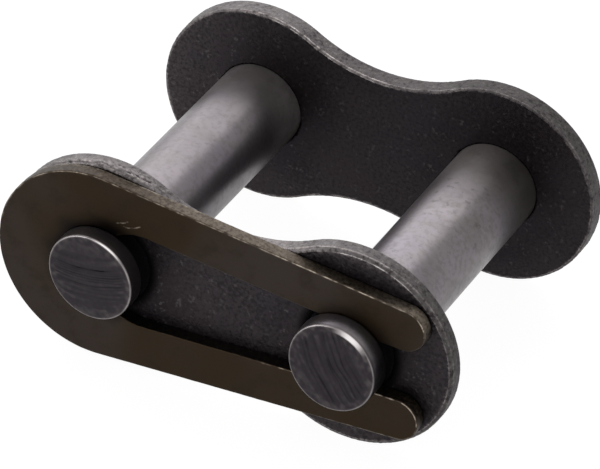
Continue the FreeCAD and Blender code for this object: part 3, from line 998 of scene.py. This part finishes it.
# The spring clip, with the same driving sizes as the solid
clipShape = {
    "inset": 0.23,               # of the closed end inside the cover plate's outline
    "endOffset": 0.38,
    "legWidth": 2.17,
    "seatClearance": 0.03,
    "entryClearance": 0.28,
    "entryReach": 2.22,
    "notchDepth": 0.22,
    "mouthGrip": 0.5,
    "lipSlope": 1.0,             # degrees
    "tipReach": 0.96,
    "shoulderRound": 0.15,
    "seatCornerRound": 0.15,
    "edgeBreak": 0.055,
    "breakRows": 6,
    "wallRows": 9,
    "besideBreak": 0.02,
    "faceShares": (0, 0.02, 0.08, 0.2, 0.36, 0.5, 0.64, 0.8, 0.92, 0.98, 1),
    "tipSamples": 200,           # points that the outer curve is measured with: tip, leg and closed end
    "legSamples": 1600,
    "endSamples": 1200,
    "tipMatch": 0.93,            # share of the outer tip's arc that stands beside the whole inner one
    "lipMatch": (0.5, 0.6),      # beyond the outer tip's arc: the start and end of the lip's corner
    "legMatch": (0.25, 0.26, 0.84, 0.97),        # shares of the leg: seat, corner, slot and opening
    "waveDepth": 0.006,          # of the slightly uneven edge
    "waveSize": 0.5,
    "waveStretch": (1, 0.4, 1),
    "markDepth": 0.05,           # from the faces to where the wall has its own finish
    "edgeLineWidth": 0.035,
    "edgeLineShift": 0.4,          # of the edge's round, in from the wall
    "edgeLineSlope": 3.0,          # how soon the shine ends down the wall
    "edgeLinePatches": (0.5, 0.6, 0.65, 0.1, 1.1),
    "backShine": 0.35,           # of the wall's rear edge, towards the closed end
    "backShineRamp": (-1, 4),    # along -X
    "backShineWidth": 0.05,
    "paintedShadowReach": 0.85,           # of the painted shadow round the left pin
    "paintedShadowStart": -0.1,
    "paintedShadowStrength": 0.95,
    "paintedShadowWander": 0.12,
    "paintedShadowWave": 1.2,
    "shine": {                   # how bright each wall's front edge is, from wear and a painted highlight, as (least, gain, start and end of the gain in x)
        "upper inner": (0.05, 0.0, 0.0, 1.0),
        "upper outer": (0.6, 0.7, -4.0, 4.0),
        "lower inner": (0.0, 1.2, 1.0, 6.0),
        "lower outer": (0.1, 0.4, 3.0, 9.0),
    },
    "shade": {                   # of the walls, in stretches (value, start, full from, full to, end) along x
        "upper inner": ((0.18, 6.5, 9.5, 20.0, 30.0), (0.07, -5.0, -2.0, 2.0, 5.0)),
        "upper outer": ((0.18, 6.5, 9.5, 20.0, 30.0), (0.07, -5.0, -2.0, 2.0, 5.0)),
        # painted shadow on the lower leg's inner wall, between the leg and the plate
        "lower inner": ((-0.65, -30.0, -20.0, 5.5, 7.5),),
        "lower outer": (),
    },
}


def arcOf(centre, radius, fromAngle, toAngle, count, outward=1):
    # Points and normals of an arc, without its last point. outward is -1 where the steel lies outside it.
    angle = np.linspace(fromAngle, toAngle, count, endpoint=False)
    direction = stacked(np.cos(angle), np.sin(angle))
    return np.array(centre) + radius * direction, outward * direction


def lineOf(start, end, normal, count):
    # Points and normals of a straight line, without its last point
    share = np.linspace(0, 1, count, endpoint=False)[:, None]
    points = np.array(start) * (1 - share) + np.array(end) * share
    return points, np.broadcast_to(np.array(normal, float), points.shape)


def ballBeside(foot, normal, direction, gap, centre, reach, sense):
    # The point that lies gap from a line, along its normal, and reach from a centre. sense picks one of two.
    onLine = np.array(foot) + gap * np.array(normal) - np.array(centre)
    slope = onLine @ np.array(direction)
    step = -slope + sense * math.sqrt(max(0.0, slope ** 2 - onLine @ onLine + reach ** 2))
    return np.array(foot) + gap * np.array(normal) + step * np.array(direction)


def angleOf(vector):
    return math.atan2(vector[1], vector[0])


def clipBoundaries(shape, headRadius):
    # The upper half of the clip as an inner and an outer curve from the tip to the middle of the closed end,
    # with as many points each. Both are arcs and lines that are tangent where they meet, and the normals
    # point out of the steel. The pieces of the inner curve are matched to places on the outer one.
    seat = pinShape["radius"] - pinShape["grooveDepth"] + shape["seatClearance"]
    lip = math.radians(shape["lipSlope"])
    entryX = leftPinX + shape["entryReach"]
    entry = pinShape["radius"] + shape["entryClearance"]
    atPin = seat - shape["notchDepth"]
    slotTaper = math.asin((entry - atPin) / (rightPinX - entryX))
    backX = leftPinX - shape["endOffset"]
    endRadius = headRadius - shape["inset"]
    taper = math.asin((endRadius - atPin - shape["legWidth"]) / (rightPinX - backX))
    outward = np.array([math.sin(taper), math.cos(taper)])
    outerAtZero = (atPin + shape["legWidth"]) / outward[1] + rightPinX * math.tan(taper)
    mouth = seat - shape["mouthGrip"]
    tipX = rightPinX + seat + shape["tipReach"]
    tipRadius = (outerAtZero - tipX * math.tan(taper) - mouth) / (1 + 1 / outward[1])
    tip = np.array([tipX, mouth + tipRadius])
    legStart = np.array([backX, 0]) + endRadius * outward
    legEnd = tip + tipRadius * outward

    lipNormal = np.array([-math.sin(lip), -math.cos(lip)])
    lipDirection = np.array([-math.cos(lip), math.sin(lip)])
    lipStart = tip + tipRadius * lipNormal
    slotNormal = np.array([-math.sin(slotTaper), -math.cos(slotTaper)])
    slotDirection = np.array([-math.cos(slotTaper), math.sin(slotTaper)])
    rightPin = np.array([rightPinX, 0.0])
    leftPin = np.array([leftPinX, 0.0])
    opening = np.array([entryX, 0.0])
    corner = shape["seatCornerRound"]
    lipBall = ballBeside(lipStart, -lipNormal, lipDirection, corner, rightPin, seat + corner, -1)
    slotFoot = rightPin - atPin * slotNormal
    slotBall = ballBeside(slotFoot, -slotNormal, slotDirection, corner, rightPin, seat + corner, 1)
    shoulder = shape["shoulderRound"]
    ballReach = shape["entryReach"] ** 2 + (seat + shoulder) ** 2 - (entry + shoulder) ** 2
    ballReach = ballReach / (2 * shape["entryReach"])
    ball = np.array([leftPinX + ballReach, math.sqrt((seat + shoulder) ** 2 - ballReach ** 2)])

    quarter = math.pi / 2
    lipTouch = lipBall + corner * lipNormal
    slotTouch = slotBall + corner * slotNormal
    seatFrom = angleOf(lipBall - rightPin)
    seatTo = angleOf(slotBall - rightPin)
    leftFrom = angleOf(ball - leftPin)
    openingTo = angleOf(ball - opening)
    inner = [
        arcOf(tip, tipRadius, 0, -quarter - lip, 40),
        lineOf(lipStart, lipTouch, lipNormal, 18),
        arcOf(lipBall, corner, -quarter - lip, seatFrom - math.pi, 10),
        arcOf(rightPin, seat, seatFrom, seatTo, 90, -1),
        arcOf(slotBall, corner, seatTo - math.pi, -quarter - slotTaper, 10),
        lineOf(slotTouch, opening - entry * slotNormal, slotNormal, 150),
        arcOf(opening, entry, quarter - slotTaper, openingTo, 60, -1),
        arcOf(ball, shoulder, openingTo - math.pi, leftFrom - math.pi, 10),
        arcOf(leftPin, seat, leftFrom, math.pi, 110, -1),
        (np.array([[leftPinX - seat, 0.0]]), np.array([[1.0, 0.0]])),
    ]
    outer = [
        arcOf(tip, tipRadius, 0, quarter - taper, shape["tipSamples"]),
        lineOf(legEnd, legStart, outward, shape["legSamples"]),
        arcOf((backX, 0), endRadius, quarter - taper, math.pi, shape["endSamples"]),
        (np.array([[backX - endRadius, 0.0]]), np.array([[-1.0, 0.0]])),
    ]
    innerPoints, innerNormals = (np.concatenate(arrays) for arrays in zip(*inner))
    outerPoints, outerNormals = (np.concatenate(arrays) for arrays in zip(*outer))
    reach = np.concatenate([[0], np.cumsum(np.linalg.norm(np.diff(outerPoints, axis=0), axis=1))])
    tipLength = reach[shape["tipSamples"]]
    legEndsAt = reach[shape["tipSamples"] + shape["legSamples"]]
    legLength = legEndsAt - tipLength
    places = [
        0, tipLength * shape["tipMatch"], *(tipLength + further for further in shape["lipMatch"]),
        *(tipLength + share * legLength for share in shape["legMatch"]), legEndsAt, reach[-1],
    ]
    counts = np.cumsum([0] + [len(piece[0]) for piece in inner[:-1]])
    wanted = np.interp(np.arange(len(innerPoints)), counts, places)
    outerPoints = np.stack([np.interp(wanted, reach, outerPoints[:, k]) for k in (0, 1)], -1)
    outerNormals = np.stack([np.interp(wanted, reach, outerNormals[:, k]) for k in (0, 1)], -1)
    outerNormals /= np.linalg.norm(outerNormals, axis=1)[:, None]
    innerNormals[0] = outerNormals[0] = (1, 0)
    return innerPoints, innerNormals, outerPoints, outerNormals


def shineAt(wall, x):
    # How bright a wall's front edge is, from wear and from a painted highlight
    least, gain, start, end = clipShape["shine"][wall]
    return least + gain * smoothStep(x, start, end)


def shadeAt(wall, x):
    # How pale a wall is behind its front edge, and below 0 how dark; the lower leg's inner wall is darkened
    # as painted shadow between the leg and the plate
    total = 0 * x
    for value, start, fullFrom, fullTo, end in clipShape["shade"][wall]:
        total = total + value * smoothStep(x, start, fullFrom) * smoothStep(end - x, 0, end - fullTo)
    return total


def makeClip(node, finish):
    # Each half is two flat faces between the curves, and a wall along each curve from face to face. A wall
    # is its curve drawn in by the inset of each row, and a slight wave moves it along the curve's normals.
    shape = clipShape
    low, high = boxOf(node)
    plateLow, plateHigh = boxOf("cover_plate")
    thickness = high[1] - low[1]
    edge = shape["edgeBreak"]
    inner, innerNormal, outer, outerNormal = clipBoundaries(shape, (plateHigh[2] - plateLow[2]) / 2)
    fall, rise = rounding(edge, shape["breakRows"])
    straight = np.linspace(edge, thickness - edge, shape["wallRows"] + 2)[1:-1]
    onFace = [edge + shape["besideBreak"]]
    inset = np.concatenate([onFace, fall, 0 * straight, rise, onFace])
    deep = np.concatenate([[0], rise, straight, thickness - fall, [thickness]])[:, None]
    wallMark = smoothStep(deep, 0.0, shape["markDepth"])
    wallMark = wallMark * smoothStep(thickness - deep, 0.0, shape["markDepth"])
    frontEdge = inset[:, None] - shape["edgeLineShift"] * edge + shape["edgeLineSlope"] * deep
    frontEdge = bell(frontEdge, shape["edgeLineWidth"])
    backEdge = bell(thickness - deep - edge, shape["backShineWidth"])
    share = np.array(shape["faceShares"])[:, None, None]
    patches = []
    for side, leg in ((1, "upper"), (-1, "lower")):
        walls = []
        for curve, base, normal in (("inner", inner, innerNormal), ("outer", outer, outerNormal)):
            ring = base[None] - inset[:, None, None] * normal[None]
            wall = stacked(ring[..., 0], low[1] + deep, side * ring[..., 1])
            push = smoothNoise(wall * shape["waveStretch"], shape["waveSize"], 21)
            push = push * shape["waveDepth"] * wallMark
            wall[..., 0] += push * normal[None, :, 0]
            wall[..., 2] += side * push * normal[None, :, 1]
            wall[:, -1, 2] = 0
            walls.append(wall)
            x = wall[..., 0]
            # Paler front edges, from wear and a painted highlight, and a paler rear edge towards the closed
            # end
            patchy = shineAt(leg + " " + curve, x) * patchesOf(wall, 23, *shape["edgeLinePatches"])
            behind = backEdge * smoothStep(-x, *shape["backShineRamp"])
            rubbedAndPaintedLight = patchy * frontEdge + shape["backShine"] * patchy * behind
            rubbedAndPaintedLight = rubbedAndPaintedLight + shadeAt(leg + " " + curve, x) * wallMark
            patches.append((wall, wallMark, rubbedAndPaintedLight, False))
        for row in (0, -1):
            face = walls[0][row] * (1 - share) + walls[1][row] * share
            # Painted shadow on the clip's faces round the left pin
            fromPin = np.hypot(face[..., 0] - leftPinX, face[..., 2]) - pinShape["radius"]
            fromPin = fromPin + shape["paintedShadowWander"] * smoothNoise(face, shape["paintedShadowWave"], 25)
            paintedShade = shape["paintedShadowStrength"] * (1 - smoothStep(fromPin, shape["paintedShadowStart"], shape["paintedShadowReach"]))
            patches.append((face, 0.0, -paintedShade, False))
    buildPiece(node, patches, finish)


coverHoleClearance = 0.004       # on the radius, so narrow that no light leaks past the pins
plateMaterial = plateSteel(plateFinish)
makePlate("pin_plate", pinShape["radius"], 0, 11, plateMaterial)
makePlate("cover_plate", pinShape["radius"] + coverHoleClearance, 1, 31, plateMaterial)
print("plates made")
pinMaterial = pinSteel(pinFinish)
makePin("left_pin", leftPinX, pinMaterial)
makePin("right_pin", rightPinX, pinMaterial)
print("pins made")
makeClip("spring_clip", clipSteel(clipFinish))
print("clip made")

# Camera: it looks down on the cover plate from the front right, as in the photograph
cameraView = {
    "azimuth": 25.356,
    "elevation": 35.724,
    "roll": 3.926,
    "distance": 232.03,
    "target": (0.125, -8.037, -0.378),
    "sensorWidth": 36.0,
    "lens": 295.29,
    "nearest": 10.0,
    "furthest": 20000.0,
}


def makeCamera(view):
    azimuth, elevation, roll = (math.radians(view[name]) for name in ("azimuth", "elevation", "roll"))
    level = math.cos(elevation)
    back = Vector((math.sin(azimuth) * level, -math.cos(azimuth) * level, math.sin(elevation)))
    right = Vector((math.cos(azimuth), math.sin(azimuth), 0))
    up = back.cross(right)
    rolledRight = right * math.cos(roll) + up * math.sin(roll)
    rolledUp = up * math.cos(roll) - right * math.sin(roll)
    data = bpy.data.cameras.new("camera")
    data.sensor_width = view["sensorWidth"]
    data.lens = view["lens"]
    data.clip_start = view["nearest"] * millimetre
    data.clip_end = view["furthest"] * millimetre
    camera = bpy.data.objects.new("camera", data)
    bpy.context.scene.collection.objects.link(camera)
    place = (Vector(view["target"]) + back * view["distance"]) * millimetre
    turn = Matrix((rolledRight, rolledUp, back)).transposed().to_4x4()
    camera.matrix_world = Matrix.Translation(place) @ turn
    bpy.context.scene.camera = camera


# Studio: a pale floor that the round edges of the plates stand on, a soft box overhead and one at the left,
# and white surroundings
studio = {
    "floorSize": 4000.0,
    "floorColour": (0.86, 0.86, 0.86),
    "background": (1.0, 1.0, 1.0),
    "floorGlow": 1.06,           # of the floor as the camera sees it
    "surroundings": 0.6,         # strength of the world's light on the object
    "shadowShare": 0.1,          # of the object's shadow that the camera sees on the floor
}
lamps = {
    "key": {
        "place": (-140.0, 200.0, 200.0),
        "size": (480.0, 360.0),
        "power": 1.2,
        "colour": (1.0, 0.99, 1.0),
    },
    "left": {
        "place": (-200.0, -190.0, 60.0),
        "size": (160.0, 120.0),
        "power": 0.3,
        "colour": (1.0, 1.0, 1.0),
    },
}


def showsBackground(made):
    # 1 for rays from the camera and for what gloss and glass show of the background
    rays = ("Is Camera Ray", "Is Glossy Ray", "Is Transmission Ray")
    return sum(made.node("ShaderNodeLightPath", output=name) for name in rays).clipped()


def makeFloor(stage):
    half = stage["floorSize"] / 2 * millimetre
    level = cadBox[0][2]
    corners = [(-half, -half, level), (half, -half, level), (half, half, level), (-half, half, level)]
    mesh = bpy.data.meshes.new("floor")
    mesh.from_pydata(corners, [], [(0, 1, 2, 3)])
    floor = bpy.data.objects.new("floor", mesh)
    bpy.context.scene.collection.objects.link(floor)
    made = Finish(bpy.data.materials.new("floorPaper"))
    paper = made.node("ShaderNodeBsdfDiffuse", {}, {"Color": (*stage["floorColour"], 1)})
    glowing = {"Color": (*stage["background"], 1), "Strength": stage["floorGlow"]}
    glow = made.node("ShaderNodeEmission", {}, glowing)
    share = showsBackground(made) * (1 - stage["shadowShare"])
    surface = made.node("ShaderNodeMixShader", {}, {0: share, 1: paper, 2: glow})
    made.node("ShaderNodeOutputMaterial", {}, {"Surface": surface})
    mesh.materials.append(made.owner)


def makeWorld(stage):
    world = bpy.data.worlds.new("studio")
    bpy.context.scene.world = world
    made = Finish(world)
    level = showsBackground(made) * (1 - stage["surroundings"]) + stage["surroundings"]
    shader = made.node("ShaderNodeBackground", {}, {"Color": (*stage["background"], 1), "Strength": level})
    made.node("ShaderNodeOutputWorld", {}, {"Surface": shader})


def makeLamp(name, lamp):
    # Each lamp is a soft box that faces the middle of the object.
    data = bpy.data.lights.new(name, "AREA")
    data.shape = "RECTANGLE"
    data.size, data.size_y = (side * millimetre for side in lamp["size"])
    data.energy = lamp["power"]
    data.color = lamp["colour"]
    light = bpy.data.objects.new(name, data)
    bpy.context.scene.collection.objects.link(light)
    light.location = Vector(lamp["place"]) * millimetre
    middle = (cadBox[0] + cadBox[1]) / 2
    light.rotation_euler = (middle - light.location).to_track_quat("-Z", "Y").to_euler()


makeCamera(cameraView)
makeFloor(studio)
makeWorld(studio)
for name, lamp in lamps.items():
    makeLamp(name, lamp)
bpy.context.scene.view_settings.view_transform = "Standard"
print("studio made")
